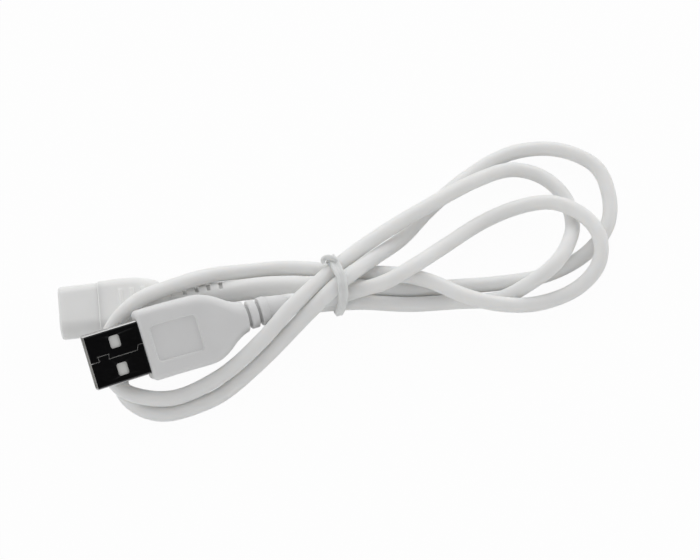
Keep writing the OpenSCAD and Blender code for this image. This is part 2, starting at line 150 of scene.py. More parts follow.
def plastic(name, colour, rough, grain_scale, grain, tone=0.03, soft=0.0):
    """Moulded plastic: clouds of tone, a fine grain, an uneven gloss, some light through."""
    mat, tree, shader = material(name)
    fine = noise(tree, grain_scale, detail=4, rough=0.6)
    clouded_colour(tree, shader, colour, tone, scale=140)
    tree.links.new(spread(tree, fine, rough - 0.06, rough + 0.08), shader.inputs["Roughness"])
    shader.inputs["Specular IOR Level"].default_value = 0.4
    shader.inputs["Subsurface Weight"].default_value = soft
    shader.inputs["Subsurface Radius"].default_value = LIGHT_RADII
    shader.inputs["Subsurface Scale"].default_value = LIGHT_REACH
    bump(tree, shader, fine, grain, GRAIN_DEPTH)
    return mat


def metal(name, colour, rough, streaks=(1, 1, 1)):
    """Plated sheet: fine rolling streaks in the gloss and a faint unevenness."""
    mat, tree, shader = material(name)
    fine = noise(tree, scale=2200, detail=3, rough=0.6, stretch=streaks)
    shader.inputs["Metallic"].default_value = 1
    clouded_colour(tree, shader, colour, tone=0.15, scale=180)
    tree.links.new(spread(tree, fine, rough - 0.04, rough + 0.08), shader.inputs["Roughness"])
    bump(tree, shader, fine, 0.1, SCRATCH_DEPTH)
    return mat


# Each row: name, colour, roughness, scale and strength of the grain, and what else differs.
# The two grooves carry painted shade and the line a painted highlight, on faces of the moulded
# ends.
PLASTICS = [
    ("cord_jacket", (0.90, 0.90, 0.89), 0.42, 1500, 0.10, {"soft": 1.0}),
    ("plug_grip", (0.83, 0.83, 0.83), 0.46, 2600, 0.14, {"soft": 0.2}),
    ("tongue_plastic", (0.80, 0.80, 0.78), 0.35, 1800, 0.06, {}),
    ("inner_plastic", (0.66, 0.66, 0.64), 0.5, 1500, 0.1, {}),
    ("core_red", (0.60, 0.05, 0.04), 0.35, 1800, 0.06, {}),
    ("core_black", (0.03, 0.03, 0.03), 0.35, 1800, 0.06, {}),
    ("socket_plastic", (0.95, 0.95, 0.935), 0.38, 2400, 0.08, {"soft": 0.3}),
    ("socket_grip", (0.95, 0.95, 0.935), 0.44, 2400, 0.12, {"soft": 0.3}),
    # Darker copies of the grip and socket plastics: painted shade in the relief grooves and slots
    ("plug_groove_shade", (0.58, 0.58, 0.58), 0.6, 2600, 0.14, {}),
    ("socket_groove_shade", (0.66, 0.66, 0.65), 0.6, 2400, 0.12, {}),
    # A lighter copy of the socket plastic: a painted highlight along the body's front edge
    ("socket_edge_highlight", (0.99, 0.99, 0.98), 0.3, 2400, 0.05, {"tone": 0.01}),
    ("tie_plastic", (0.84, 0.85, 0.84), 0.38, 1500, 0.10, {"soft": 0.4}),
]
MATERIALS = {row[0]: plastic(*row[:-1], **row[-1]) for row in PLASTICS}
MATERIALS["shell_metal"] = metal("shell_metal", (0.075, 0.075, 0.078), 0.14, ROLLED)
MATERIALS["shell_edge"] = metal("shell_edge", (0.80, 0.80, 0.78), 0.32)
# A lighter copy of the shell's plating: a painted reflection on its narrow sides and long bends
MATERIALS["shell_side_reflection"] = metal("shell_side_reflection", (0.55, 0.55, 0.54), 0.2, ROLLED)
MATERIALS["contact_metal"] = metal("contact_metal", (0.80, 0.60, 0.26), 0.22, (0.2, 1, 1))

for row in frame["record"]["subparts"]:
    cad_mesh = nodes[row["node"]].data
    cad_mesh.materials.clear()
    cad_mesh.materials.append(MATERIALS[row["material_slot"]])

# ---------------------------------------------------------------- lines and sections


def spline(points, per):
    """A smooth curve through the points, straight on at both ends."""
    p = np.array(points, float)
    p = np.vstack([2 * p[0] - p[1], p, 2 * p[-1] - p[-2]])
    s = (np.arange(per) / per)[:, None]
    out = []
    for i in range(1, len(p) - 2):
        a, b, c, d = p[i - 1], p[i], p[i + 1], p[i + 2]
        out.append(
            0.5 * (2 * b + (c - a) * s + (2 * a - 5 * b + 4 * c - d) * s**2
                   + (3 * b - a - 3 * c + d) * s**3)
        )
    return np.vstack(out + [p[-2:-1]])


def lengths(path):
    return np.r_[0, np.cumsum(np.linalg.norm(np.diff(path, axis=0), axis=1))]


def at_lengths(along, values, wanted):
    """Rows of values, which belong to the lengths along, at the wanted lengths."""
    return np.stack([np.interp(wanted, along, values[:, k]) for k in range(3)], 1)


def even(path, step):
    along = lengths(path)
    wanted = np.linspace(0, along[-1], int(round(along[-1] / step)) + 1)
    return at_lengths(along, path, wanted)


def directions(path):
    t = np.gradient(path, axis=0)
    return t / np.linalg.norm(t, axis=1)[:, None]


def frames(path):
    """Tangent, side and up at each point, with no twist along the path."""
    t = directions(path)
    side = np.cross([0, 0, 1.0], t[0])
    side /= np.linalg.norm(side)
    sides = []
    for v in t:
        side = side - v * side.dot(v)
        side /= np.linalg.norm(side)
        sides.append(side)
    sides = np.array(sides)
    return t, sides, np.cross(t, sides)


def circle(count):
    """A circle of radius 1, as its two rows of offsets."""
    angle = 2 * math.pi * np.arange(count) / count
    return np.cos(angle), np.sin(angle)


def smoothstep(x, low, high):
    x = np.clip((x - low) / (high - low), 0, 1)
    return x * x * (3 - 2 * x)


def within(x, half, blur):
    """1 where x is less than half away from zero, 0 further out, and soft between."""
    return smoothstep(-np.abs(x), -half - blur, -half + blur)


def soft_profile(x, xs, ys, blur):
    """The line through the places (xs, ys) at x, with its corners rounded off over blur."""
    offsets = np.linspace(-blur, blur, 9)
    return np.mean([np.interp(x + o, xs, ys) for o in offsets], 0)


def soft_edge(size, steps):
    """A quarter round as (along, inset) pairs, from its tip to the full size.

    Read as (inset, along), the same pairs run from the full size to the tip.
    """
    turns = np.linspace(0, math.pi / 2, steps)
    return [(size * (1 - math.cos(a)), size * (1 - math.sin(a))) for a in turns]


def rounded_distance(y, z, half_w, half_h, r):
    """How far a point is outside a rounded rectangle, with less than zero inside it."""
    qy = np.abs(y) - (half_w - r)
    qz = np.abs(z) - (half_h - r)
    outside = np.hypot(np.maximum(qy, 0), np.maximum(qz, 0))
    return outside + np.minimum(np.maximum(qy, qz), 0) - r


def rounded_section(half_w, half_h, r, count):
    """A rounded rectangle as count points at even angles."""
    r = min(r, half_w, half_h)
    c, s = circle(count)
    low, high = np.zeros(count), np.full(count, 2 * max(half_w, half_h))
    for _ in range(40):
        middle = (low + high) / 2
        inside = rounded_distance(middle * c, middle * s, half_w, half_h, r) < 0
        low, high = np.where(inside, middle, low), np.where(inside, high, middle)
    return np.stack([low * c, low * s], 1)


# ---------------------------------------------------------------- meshes and pieces

# Faces that start nearer to the end of a piece than this belong to the end
END_FACES = 0.02


def rings_round(centres, side, up, a, b):
    """Rings round the centres: a is how far a point lies to the side and b how far up."""
    return centres[:, None] + a[..., None] * side[:, None] + b[..., None] * up[:, None]


def skin(rings, closed=False):
    """Vertices and faces of a tube through rings of equal count, capped at its ends."""
    rings = np.asarray(rings)
    n, k = rings.shape[:2]
    faces = []
    for i in range(n if closed else n - 1):
        a, b = i * k, (i + 1) % n * k
        faces += [(a + j, a + (j + 1) % k, b + (j + 1) % k, b + j) for j in range(k)]
    if not closed:
        faces.append(tuple(range(k - 1, -1, -1)))
        faces.append(tuple(range((n - 1) * k, n * k)))
    return rings.reshape(-1, 3), faces


def placed(matrix, verts):
    m = np.array(matrix)
    return np.asarray(verts) @ m[:3, :3].T + m[:3, 3]


def declare(obj, replaces):
    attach(obj, "root")
    if replaces:
        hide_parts(*replaces)


def smooth(mesh, sharp):
    """Smooth shading, with a crease where faces turn by more than sharp degrees."""
    mesh.shade_smooth()
    mesh.set_sharp_from_angle(angle=math.radians(sharp))


def piece(name, verts, faces, slot, replaces=()):
    """A new object in the material of its slot. Its vertices are in metres."""
    mesh = bpy.data.meshes.new(name)
    mesh.from_pydata([tuple(v) for v in np.asarray(verts)], [], faces)
    mesh.validate()
    mesh.materials.append(MATERIALS[slot])
    smooth(mesh, sharp=35)
    obj = bpy.data.objects.new(name, mesh)
    bpy.context.scene.collection.objects.link(obj)
    declare(obj, replaces)
    return obj


def apply_modifiers(obj):
    bpy.context.view_layer.update()
    graph = bpy.context.evaluated_depsgraph_get()
    mesh = bpy.data.meshes.new_from_object(obj.evaluated_get(graph))
    obj.modifiers.clear()
    obj.data = mesh


def paint_groove_shade(obj, low, mat, reach, along):
    """Faces between low points get a darker material, painted shade in the grooves, short of the
    end and of reach.
    """
    obj.data.materials.append(MATERIALS[mat])
    for face in obj.data.polygons:
        k = np.array(face.vertices)
        if len(k) == 4 and low[k].all() and along[k].min() > END_FACES and along[k].max() < reach:
            face.material_index = len(obj.data.materials) - 1


# ---------------------------------------------------------------- cord

CORD_D = 3.4 * MM
CORD_R = CORD_D / 2
# The bore of a moulded end, in millimetres, with a little room round the cord
BORE_R = CORD_R / MM + 0.02
# From the plug to the socket. It is the solids' route, with five points moved by up to 0.3
ROUTE = [
    [-16, -10.4, 8.2], [-11.9, -8.75, 7.75], [-7, -7.8, 6.3], [-1.5, -7, 6],
    [4, -5.5, 6.8], [10.1, -4.2, 8.3], [16.2, -0.4, 8.3], [23.2, 6.1, 5],
    [32.2, 13.6, 2.6], [40.7, 17.2, 3.4], [48.4, 17.4, 5.2], [55, 14, 5.5],
    [58.5, 8.5, 5.4], [57.9, 2.1, 3.8], [52.6, -3.2, 2.2], [44, -6.8, 2.6],
    [35.4, -7.9, 4.8], [27.5, -6.1, 5.5], [20, -2.5, 5.3], [13, -0.5, 4.6],
    [6, 0.6, 3.2], [-1.5, 1.5, 2.5], [-11.5, 2.5, 1.7], [-20.5, 1.5, 2.2],
    [-29, -1, 5], [-37, -5, 7.8], [-44.5, -9.5, 9.4], [-49.5, -15.5, 8.9],
    [-51, -22, 6.3], [-47.9, -27.8, 5.1], [-42, -30.5, 5.3], [-34.4, -29.9, 4.6],
    [-24.9, -24.8, 5.2], [-16.8, -18.3, 8.5], [-10.5, -11.4, 10.6], [-3.5, -4, 10],
    [4, 4, 7.6], [12.5, 11, 6.3], [22, 17.5, 5.7], [30.9, 23.2, 4.8],
    [39, 27.2, 2.8], [46.1, 26.2, 1.8], [51.2, 21.2, 1.7], [53, 14.5, 1.8],
    [51.7, 7.9, 4.4], [48.4, 2, 5.6], [42.8, -2.4, 4.6], [35.6, -5.3, 2],
    [26.5, -5.85, 1.7], [15.5, -6.65, 1.9], [4.5, -6.5, 2.7], [-6.5, -7, 2.1],
    [-17.5, -8, 1.7], [-28.5, -10, 1.7], [-38, -13.5, 1.7], [-44.4, -17.1, 1.7],
    [-47.8, -22.3, 1.7], [-47.2, -27.8, 1.7], [-43.3, -31.6, 1.7], [-38, -32.9, 1.7],
    [-32, -31.4, 1.7], [-25.1, -27.9, 1.8], [-16.25, -20.65, 4.4], [-7.6, -12.9, 8.8],
    [0, -5.5, 10.6], [7, 2, 6.8], [14, 9.5, 2.6], [20.5, 17.5, 1.7],
    [29.5, 26, 1.7], [39.5, 32.2, 1.7], [50, 33.3, 1.7], [58.7, 29.2, 1.7],
    [61.7, 21.6, 1.7], [60.9, 13.3, 1.7], [55.4, 5.9, 1.7], [46.2, 0.7, 1.7],
    [35.6, -1.3, 1.7], [24.5, -2.25, 1.7], [14.5, -3.2, 1.9], [5.5, -2.9, 3.1],
    [-3, -2.5, 2.3], [-8, -2.5, 2.3],
]
ROUTE_START, ROUTE_NEXT, ROUTE_END = np.array([ROUTE[0], ROUTE[1], ROUTE[-1]])


def make_cord():
    path = spline(np.array(ROUTE) * MM, 12)
    path[:, 2] = np.maximum(path[:, 2], CORD_R)
    path = even(path, 0.8 * MM)
    _, side, up = frames(path)
    c, s = (np.tile(CORD_R * v, (len(path), 1)) for v in circle(24))
    verts, faces = skin(rings_round(path, side, up, c, s))
    return piece("cord", verts, faces, "cord_jacket", ["cable"]), path


cord, cord_path = make_cord()

# ---------------------------------------------------------------- plug grip

# The plug's own x runs from the end of its relief rings to its mouth, and z is up from a face
PLUG_AXIS = ROUTE_START - ROUTE_NEXT
PLUG_LEAN = math.radians(30)
AT_PLUG = (
    Matrix.Translation(Vector(ROUTE_START * MM))
    @ Matrix.Rotation(math.atan2(PLUG_AXIS[1], PLUG_AXIS[0]), 4, "Z")
    @ Matrix.Rotation(-math.asin(PLUG_AXIS[2] / np.linalg.norm(PLUG_AXIS)), 4, "Y")
    @ Matrix.Rotation(-PLUG_LEAN, 4, "X")
)
RELIEF_L = 5.0
GRIP_FRONT = RELIEF_L + 23.7
RELIEF_RING_L, RELIEF_GROOVE_L = 1.75, 0.75
RELIEF_RING_R, RELIEF_GROOVE_R = 3.15, 2.3
RELIEF_EDGE = 0.25
NECK_R = 3.35
GRIP_HALF_W, GRIP_HALF_H = 7.75, 3.9
GRIP_FRONT_EDGE, GRIP_FRONT_CORNER, GRIP_LEAST_CORNER = 1.0, 1.3, 0.5
GRIP_STEP = 0.16
# Places along the grip, what is there, and how far the corners of that line are rounded off
GRIP_WIDTHS = ([5, 6.2, 8.4, 10.6, 13.2, 15.2], [3.35, 3.6, 4.6, 6.3, 7.5, 7.75], 1.1)
GRIP_HEIGHTS = ([6, 13], [NECK_R, GRIP_HALF_H], 1.2)
GRIP_CORNERS = ([5.2, 9, 14, 24], [NECK_R, 2.6, 2.2, GRIP_FRONT_CORNER], 1.0)
# The hole for the shell: its half width, half height and corner, how deep it goes, and how
# deep and wide the broken edge round it is
SHELL_HOLE = np.array([6.04, 2.29, 0.64])
SHELL_HOLE_L = 1.5
SHELL_HOLE_EDGE_L, SHELL_HOLE_EDGE_W = 0.08, 0.16
# The sunk panel, and where its wall starts and ends across its outline
PANEL_L, PANEL_W, PANEL_CORNER, PANEL_DEPTH = 10.4, 8.1, 1.1, 0.48
PANEL_TO_FRONT = 2.0
PANEL_WALL = (-0.07, 0.09)
PANEL_FACE_Z = 3.0
# The soft relief sags, down in the picture and towards the table, and most at its end
RELIEF_SAG = 0.45
SAG_WAY = np.array([0, -0.9, -0.44])
SAG_FADES = (10, 26)
# The smooth end of the relief, which drops a little more as it leaves the rings
SLEEVE_L = 5.0
SLEEVE_STEP = 0.2
SLEEVE_OVERLAP = 0.4
SLEEVE_DROP, SLEEVE_DROPS = 0.3, (0, 3)
SLEEVE_RADII = ([0, 1, 3, 4.4, SLEEVE_L], [2.95, 2.9, 2.65, 2.2, 1.9], 0.3)


def make_grip():
    """The moulded grip, its shoulders, neck and ringed strain relief, in one skin."""
    count = 288
    rings = []

    def ring(x, half_w, half_h=None, r=None):
        section = rounded_section(half_w, half_h or half_w, r or half_w, count)
        rings.append(np.column_stack([np.full(count, x), section]))

    # The hollow end round the cord, then the rings and grooves of the strain relief
    ring(0.9, BORE_R)
    ring(0.05, BORE_R)
    ring(0, BORE_R + 0.05)
    for start in (0, RELIEF_RING_L + RELIEF_GROOVE_L):
        end = start + RELIEF_RING_L
        for away, inset in soft_edge(RELIEF_EDGE, 6):
            ring(start + away, RELIEF_RING_R - inset)
        for away, inset in reversed(soft_edge(RELIEF_EDGE, 6)):
            ring(end - away, RELIEF_RING_R - inset)
        corner = 0.12
        for x, rise in ((0, corner), (corner, 0), (RELIEF_GROOVE_L - corner, 0),
                        (RELIEF_GROOVE_L, corner)):
            ring(end + x, RELIEF_GROOVE_R + rise)
    # Neck, shoulders and straight part
    for away, inset in soft_edge(RELIEF_EDGE, 6)[:-1]:
        ring(RELIEF_L + away, NECK_R - inset)
    for x in np.arange(RELIEF_L + RELIEF_EDGE, GRIP_FRONT - GRIP_FRONT_EDGE, GRIP_STEP):
        ring(x, *(float(soft_profile(x, *table))
                  for table in (GRIP_WIDTHS, GRIP_HEIGHTS, GRIP_CORNERS)))
    for inset, back in soft_edge(GRIP_FRONT_EDGE, 10):
        ring(GRIP_FRONT - back, GRIP_HALF_W - inset, GRIP_HALF_H - inset,
             max(GRIP_FRONT_CORNER - inset, GRIP_LEAST_CORNER))
    ring(GRIP_FRONT, *(SHELL_HOLE + SHELL_HOLE_EDGE_W))
    ring(GRIP_FRONT - SHELL_HOLE_EDGE_L, *SHELL_HOLE)
    ring(GRIP_FRONT - SHELL_HOLE_L, *SHELL_HOLE)
    rings = np.array(rings)
    # Sunk panel on both faces
    x, y, z = rings[..., 0], rings[..., 1], rings[..., 2]
    middle = GRIP_FRONT - PANEL_TO_FRONT - PANEL_L / 2
    away = rounded_distance(x - middle, y, PANEL_L / 2, PANEL_W / 2, PANEL_CORNER)
    sunk = np.sign(z) * PANEL_DEPTH * smoothstep(-away, *PANEL_WALL)
    rings[..., 2] -= np.where(np.abs(z) > PANEL_FACE_Z, sunk, 0)
    verts, faces = skin(placed(AT_PLUG, rings.reshape(-1, 3) * MM).reshape(rings.shape))
    sag = RELIEF_SAG * (1 - smoothstep(x.ravel(), *SAG_FADES))
    verts = verts + sag[:, None] * SAG_WAY * MM
    obj = piece("grip", verts, faces, "plug_grip", ["plug_overmould"])
    # The grooves between the relief rings are painted darker, as shade
    low = np.repeat(y.max(1) < RELIEF_GROOVE_R + 0.2, count)
    paint_groove_shade(obj, low, "plug_groove_shade", RELIEF_L, x.ravel())


def make_sleeve():
    """The smooth end of the strain relief, which tapers onto the cord behind its rings."""
    s = np.arange(-SLEEVE_OVERLAP, SLEEVE_L + 0.01, SLEEVE_STEP)
    path = even(cord_path, SLEEVE_STEP * MM)
    line = at_lengths(lengths(path), path, np.maximum(s, 0) * MM)
    t, side, up = frames(path)
    line += np.minimum(s, 0)[:, None] * t[0] * MM
    line += (RELIEF_SAG + SLEEVE_DROP * smoothstep(s, *SLEEVE_DROPS))[:, None] * SAG_WAY * MM
    radius = soft_profile(s, *SLEEVE_RADII)[:, None] * MM
    k = np.clip(np.round(s / SLEEVE_STEP).astype(int), 0, len(t) - 1)
    a, b = (radius * v for v in circle(72))
    verts, faces = skin(rings_round(line, side[k], up[k], a, b))
    piece("plug_sleeve", verts, faces, "plug_grip")


make_grip()
make_sleeve()

# ---------------------------------------------------------------- plug shell

FACE, BARE, SIDE_REFLECTION = 0, 1, 2
SHELL_MATERIALS = ("shell_metal", "shell_edge", "shell_side_reflection")
# A face or an edge whose middle is further out than this is on the outer side of the sheet
SHELL_OUT_W, SHELL_OUT_H = 5.75, 2.0
RIM_OUT_W, RIM_OUT_H = 5.8, 2.1
# Edges that turn by more than this, in degrees, are broken, and by which share of the bevel
CUT_TURN = 50
RIM_BEVEL, CUT_BEVEL = 1.0, 0.25
# A face whose normal has more than this along x or z looks out of the mouth or up and down
LOOKS_OUT, LOOKS_UP = 0.5, 0.8


def is_out(place, half_w, half_h):
    return abs(place.y) > half_w or abs(place.z) > half_h


def weigh_edges(mesh, to_plug):
    """Full bevels for the mouth's outer edge, and narrow ones for the windows and the seam."""
    at = [to_plug @ v.co / MM for v in mesh.vertices]
    mouth = max(v.x for v in at)
    crease = {}
    for face in mesh.polygons:
        normal = to_plug.to_3x3() @ face.normal
        for key in face.edge_keys:
            crease.setdefault(key, []).append(normal)
    weights = mesh.attributes.new("bevel_weight_edge", "FLOAT", "EDGE")
    for i, edge in enumerate(mesh.edges):
        a, b = (at[k] for k in edge.vertices)
        sides = crease.get(tuple(sorted(edge.vertices)), [])
        if len(sides) == 2 and sides[0].angle(sides[1], 0) > math.radians(CUT_TURN):
            rim = min(a.x, b.x) > mouth - 0.01 and is_out((a + b) / 2, RIM_OUT_W, RIM_OUT_H)
            weights.data[i].value = RIM_BEVEL if rim else CUT_BEVEL


def make_shell():
    """The folded sheet of the CAD node with its cut edges broken and left bare."""
    obj = bpy.data.objects.new("shell_sheet", nodes["plug_shell"].data.copy())
    bpy.context.scene.collection.objects.link(obj)
    obj.data.materials.clear()
    for slot in SHELL_MATERIALS:
        obj.data.materials.append(MATERIALS[slot])
    obj.modifiers.new("weld", "WELD").merge_threshold = 0.000002
    apply_modifiers(obj)
    to_plug = AT_PLUG.inverted()
    weigh_edges(obj.data, to_plug)
    bevel = obj.modifiers.new("bevel", "BEVEL")
    bevel.width = 0.0002
    bevel.segments = 2
    bevel.limit_method = "WEIGHT"
    bevel.material = BARE
    apply_modifiers(obj)
    # The long bends and the narrow sides get a lighter copy of the plating, a painted reflection,
    # and the inside is bare
    for face in obj.data.polygons:
        normal = to_plug.to_3x3() @ face.normal
        if face.material_index != FACE or abs(normal.x) >= LOOKS_OUT:
            continue
        if not is_out(to_plug @ face.center / MM, SHELL_OUT_W, SHELL_OUT_H):
            face.material_index = BARE
        elif abs(normal.z) < LOOKS_UP:
            face.material_index = SIDE_REFLECTION
    smooth(obj.data, sharp=40)
    obj.modifiers.new("even", "WEIGHTED_NORMAL").keep_sharp = True
    apply_modifiers(obj)
    declare(obj, ["plug_shell"])


make_shell()

# ---------------------------------------------------------------- socket nose

# The socket's own x runs from its mouth to its back
AT_SOCKET = (
    Matrix.Translation(Vector((-62.0, -9.7, 3.55)) * MM)
    @ Matrix.Rotation(math.radians(7.3), 4, "Z")
)
NOSE_L = 8.8
NOSE_HALF_W, NOSE_HALF_H, NOSE_CORNER = 6.1, 3.1, 2.8
NOSE_EDGE = 0.7
# What the body covers is smaller by this much
NOSE_TENON_INSET, NOSE_TENON_L = 1.2, 4
PIN_PITCH = 5.6
# Each hole's radius and reach: the mouth that the pins enter, and the wider room of the sleeve
PIN_HOLES = ((1.05, -1.0, 1.5), (1.45, 1.0, 14.0))


def make_nose():
    """The firm nose, with rounded edges round its mouth and two round pin holes."""
    count = 192
    insets = [(back, inset) for inset, back in reversed(soft_edge(NOSE_EDGE, 10))]
    insets += [(x, 0) for x in np.linspace(NOSE_EDGE, NOSE_L, 30)[1:]]
    insets += [(NOSE_L, NOSE_TENON_INSET), (NOSE_L + NOSE_TENON_L, NOSE_TENON_INSET)]
    rings = []
    for x, inset in insets:
        section = rounded_section(NOSE_HALF_W - inset, NOSE_HALF_H - inset,
                                  NOSE_CORNER - inset, count)
        rings.append(np.column_stack([np.full(count, x), section]))
    verts, faces = skin(rings)
    obj = piece("nose", placed(AT_SOCKET, verts * MM), faces, "socket_plastic", ["socket_nose"])
    cutters = []
    for y in (-PIN_PITCH / 2, PIN_PITCH / 2):
        for r, back, front in PIN_HOLES:
            bpy.ops.mesh.primitive_cylinder_add(
                vertices=48, radius=r * MM, depth=(front - back) * MM
            )
            cutter = bpy.context.object
            cutter.data.transform(
                AT_SOCKET @ Matrix.Translation(Vector(((front + back) / 2, y, 0)) * MM)
                @ Matrix.Rotation(math.pi / 2, 4, "Y")
            )
            cutters.append(cutter)
            cut = obj.modifiers.new("cut", "BOOLEAN")
            cut.object = cutter
            cut.solver = "EXACT"
    bevel = obj.modifiers.new("bevel", "BEVEL")
    bevel.width = 0.00012
    bevel.segments = 3
    bevel.limit_method = "ANGLE"
    bevel.angle_limit = math.radians(55)
    apply_modifiers(obj)
    smooth(obj.data, sharp=40)
    for cutter in cutters:
        bpy.data.objects.remove(cutter)
    return obj


nose = make_nose()

# ---------------------------------------------------------------- socket body

BODY_L = 14.7
# The relief starts a little before the body's own length ends
BOOT_START = BODY_L - 1
BODY_HALF_W, BODY_HALF_H, BODY_CORNER = 6.3, 3.3, 2.8
BOOT_R = 2.43
BODY_WIDTHS = ([0.3, 2.6, 6.5, 8.7, 11, 12.8, 13.6, 14.3, 15],
               [BODY_HALF_W, 6.42, 6.42, 6.22, 5.7, 5.2, 4.9, 4, BOOT_R], 0.5)
BODY_HEIGHTS = ([11.2, 12.4, 13.5, 14.4, 14.9], [BODY_HALF_H, 3.15, 2.85, 2.45, BOOT_R], 0.5)
BODY_STEP = 0.14
# The front edge, and the lip inside it that meets the nose
FRONT_EDGE_L, FRONT_EDGE_W, FRONT_EDGE_H, FRONT_EDGE_STEPS = 0.26, 0.15, 0.18, 8
FRONT_LIP = (6.12, 3.12, BODY_CORNER)
BOOT_EDGE = 0.35
# A section whose sides differ by less than this is drawn round
NEARLY_ROUND = 0.05
# The relief's middle line up to the cord's end, and how far it reaches on over the cord
BOOT_BENDS = [
    [-34, -5.6, 3], [-29, -4.5, 2.65], [-24.5, -3.75, 2.46], [-20, -3.1, 2.46], [-15, -2.6, 2.46],
]
BOOT_OVER = np.array([2.6, 0, 0.16])
RIB_H, RIB_W, RIB_PITCH, RIB_HALF_L = 0.25, 0.9, 2.5, 2.7
RIB_BLUR_W, RIB_BLUR_L = 0.12, 0.15
RIB_TO_BACK = 4.65
RIB_FACE_Z = 2
SLOT_PITCH, SLOT_W, SLOT_DEPTH = 2.75, 0.8, 0.5
SLOT_BLUR, SLOT_FADE = 0.06, 12
SLOT_FIRST, SLOT_COUNT = 2.5, 5
# The slots of the near and the far side: the hand, how much later along they come, and from
# which turn to which they reach, in degrees up from that side
SLOT_SIDES = ((-1, SLOT_PITCH / 2, -65, 5), (1, 0, 15, 98))


def body_line():
    """The middle line of the body and of the relief behind it, in metres."""
    front, back = placed(AT_SOCKET, np.array([[NOSE_L, 0, 0], [NOSE_L + BOOT_START, 0, 0]]) * MM)
    bends = np.vstack([BOOT_BENDS, ROUTE_END, ROUTE_END + BOOT_OVER]) * MM
    return np.vstack([np.linspace(front, back, 40)[:-1], spline(np.vstack([back, bends]), 24)])


def body_rows(end):
    """Places along the line, each with the section's half width, half height and corner."""
    rows = [(0.6, *FRONT_LIP), (0.02, *FRONT_LIP)]
    for a in np.linspace(0.1, math.pi / 2, FRONT_EDGE_STEPS):
        inset = 1 - math.sin(a)
        rows.append((FRONT_EDGE_L * (1 - math.cos(a)), BODY_HALF_W - FRONT_EDGE_W * inset,
                     BODY_HALF_H - FRONT_EDGE_H * inset, BODY_CORNER))
    for s in np.arange(0.4, end - 0.4, BODY_STEP):
        w = float(soft_profile(s, *BODY_WIDTHS))
        h = float(soft_profile(s, *BODY_HEIGHTS))
        flat = w > h + NEARLY_ROUND
        r = min(BODY_CORNER, w - 0.01, h - 0.01) if flat else h - 0.005
        rows.append((s, w, h, r))
    for inset, back in soft_edge(BOOT_EDGE, 6)[1:]:
        rows.append((end - back, *[BOOT_R - inset] * 3))
    rows += [(end - 0.001, BORE_R + 0.1, BORE_R + 0.1, BORE_R), (end - 0.6, *[BORE_R] * 3)]
    return rows


def rib_rise(s, a, b):
    """How far the finger ribs on the two faces lift each point."""
    rise = np.zeros_like(b)
    for i in range(3):
        middle = BODY_L - RIB_TO_BACK + (i - 2) * RIB_PITCH
        rise += within(s - middle, RIB_W / 2, RIB_BLUR_W) * within(a, RIB_HALF_L, RIB_BLUR_L)
    return np.sign(b) * RIB_H * rise * (np.abs(b) > RIB_FACE_Z)


def slot_depths(s, a, b):
    """How deep each point lies in the relief's slots, which lie by turns on its two sides."""
    depth = np.zeros_like(a)
    for hand, shift, low, high in SLOT_SIDES:
        turn = np.degrees(np.arctan2(b, hand * a))
        reach = (smoothstep(turn, low, low + SLOT_FADE)
                 * smoothstep(-turn, -high, SLOT_FADE - high))
        for i in range(SLOT_COUNT):
            middle = BOOT_START + SLOT_FIRST + i * SLOT_PITCH + shift
            depth += SLOT_DEPTH * within(s - middle, SLOT_W / 2, SLOT_BLUR) * reach
    return depth


def make_body():
    """The soft body with its finger ribs, and the long slotted strain relief behind it."""
    count = 144
    line = body_line()
    end = lengths(line)[-1] / MM
    rows = body_rows(end)
    where = np.array([row[0] for row in rows])
    centres = at_lengths(lengths(line), line, where * MM)
    grid = even(line, 0.2 * MM)
    _, side, up = (at_lengths(lengths(grid), way, where * MM) for way in frames(grid))
    sections = np.array([rounded_section(w, h, r, count) for _, w, h, r in rows])
    a, b = sections[..., 0], sections[..., 1]
    s = np.repeat(where[:, None], count, 1)
    b = b + rib_rise(s, a, b)
    depth = slot_depths(s, a, b)
    left = MM * (1 - depth / np.hypot(a, b))
    verts, faces = skin(rings_round(centres, side, up, a * left, b * left))
    obj = piece("socket_body", verts, faces, "socket_grip", ["socket_overmould"])
    # The front edge gets a lighter material, a painted highlight as a thin line round the body
    obj.data.materials.append(MATERIALS["socket_edge_highlight"])
    for face in obj.data.polygons[count:(1 + FRONT_EDGE_STEPS) * count]:
        face.material_index = 1
    # The slots of the relief are painted darker, as shade
    paint_groove_shade(obj, depth.ravel() > 0.2, "socket_groove_shade", end, s.ravel())
    return obj


socket_body = make_body()

# ---------------------------------------------------------------- tie

# The strands inside the band, as (y, z) in the plane that the band lies in
TIE_STRANDS = [[2.1, 2.4], [-6.9, 2.4], [-7.6, 6], [-6.4, 10.7], [-4.5, 10.6], [-0.2, 9.1]]
TIE_ROOM = 0.1
TIE_MIDDLE_X, TIE_MIDDLE_Y = -0.5, -3.0
TIE_W, TIE_T = 2.3, 0.4
# The rim along each edge, and how the ribbon is rounded off at its top and its bottom edges
TIE_RIM_H, TIE_RIM_W = 0.17, 0.42
TIE_TOP_EDGE_H, TIE_TOP_EDGE_W = 0.3, 0.25
TIE_LOW_EDGE_H, TIE_LOW_EDGE_W = 0.08, 0.12
AT_TIE = (
    Matrix.Translation(Vector((TIE_MIDDLE_X, TIE_MIDDLE_Y, 0)) * MM)
    @ Matrix.Rotation(math.radians(13), 4, "Z")
    @ Matrix.Translation(Vector((0, -TIE_MIDDLE_Y, 0)) * MM)
)
# By height in the picture: how far the band bows to the side, and which share of its width
# is left where it is pulled under and over. Each has its blur
TIE_BOW = ([-7.4, -6.5, -5.3, -4.2, -2, 0.8, 2, 3.2, 4.5, 6],
           [-1, -0.86, -0.4, 0, 0.15, 0.45, 0.2, 0, -0.1, -0.4], 0.5)
TIE_NARROWS = ([-7.5, -7, -6.4, -5.8, 3.6, 5, 6.2], [0.45, 0.75, 0.95, 1, 1, 0.8, 0.55], 0.2)
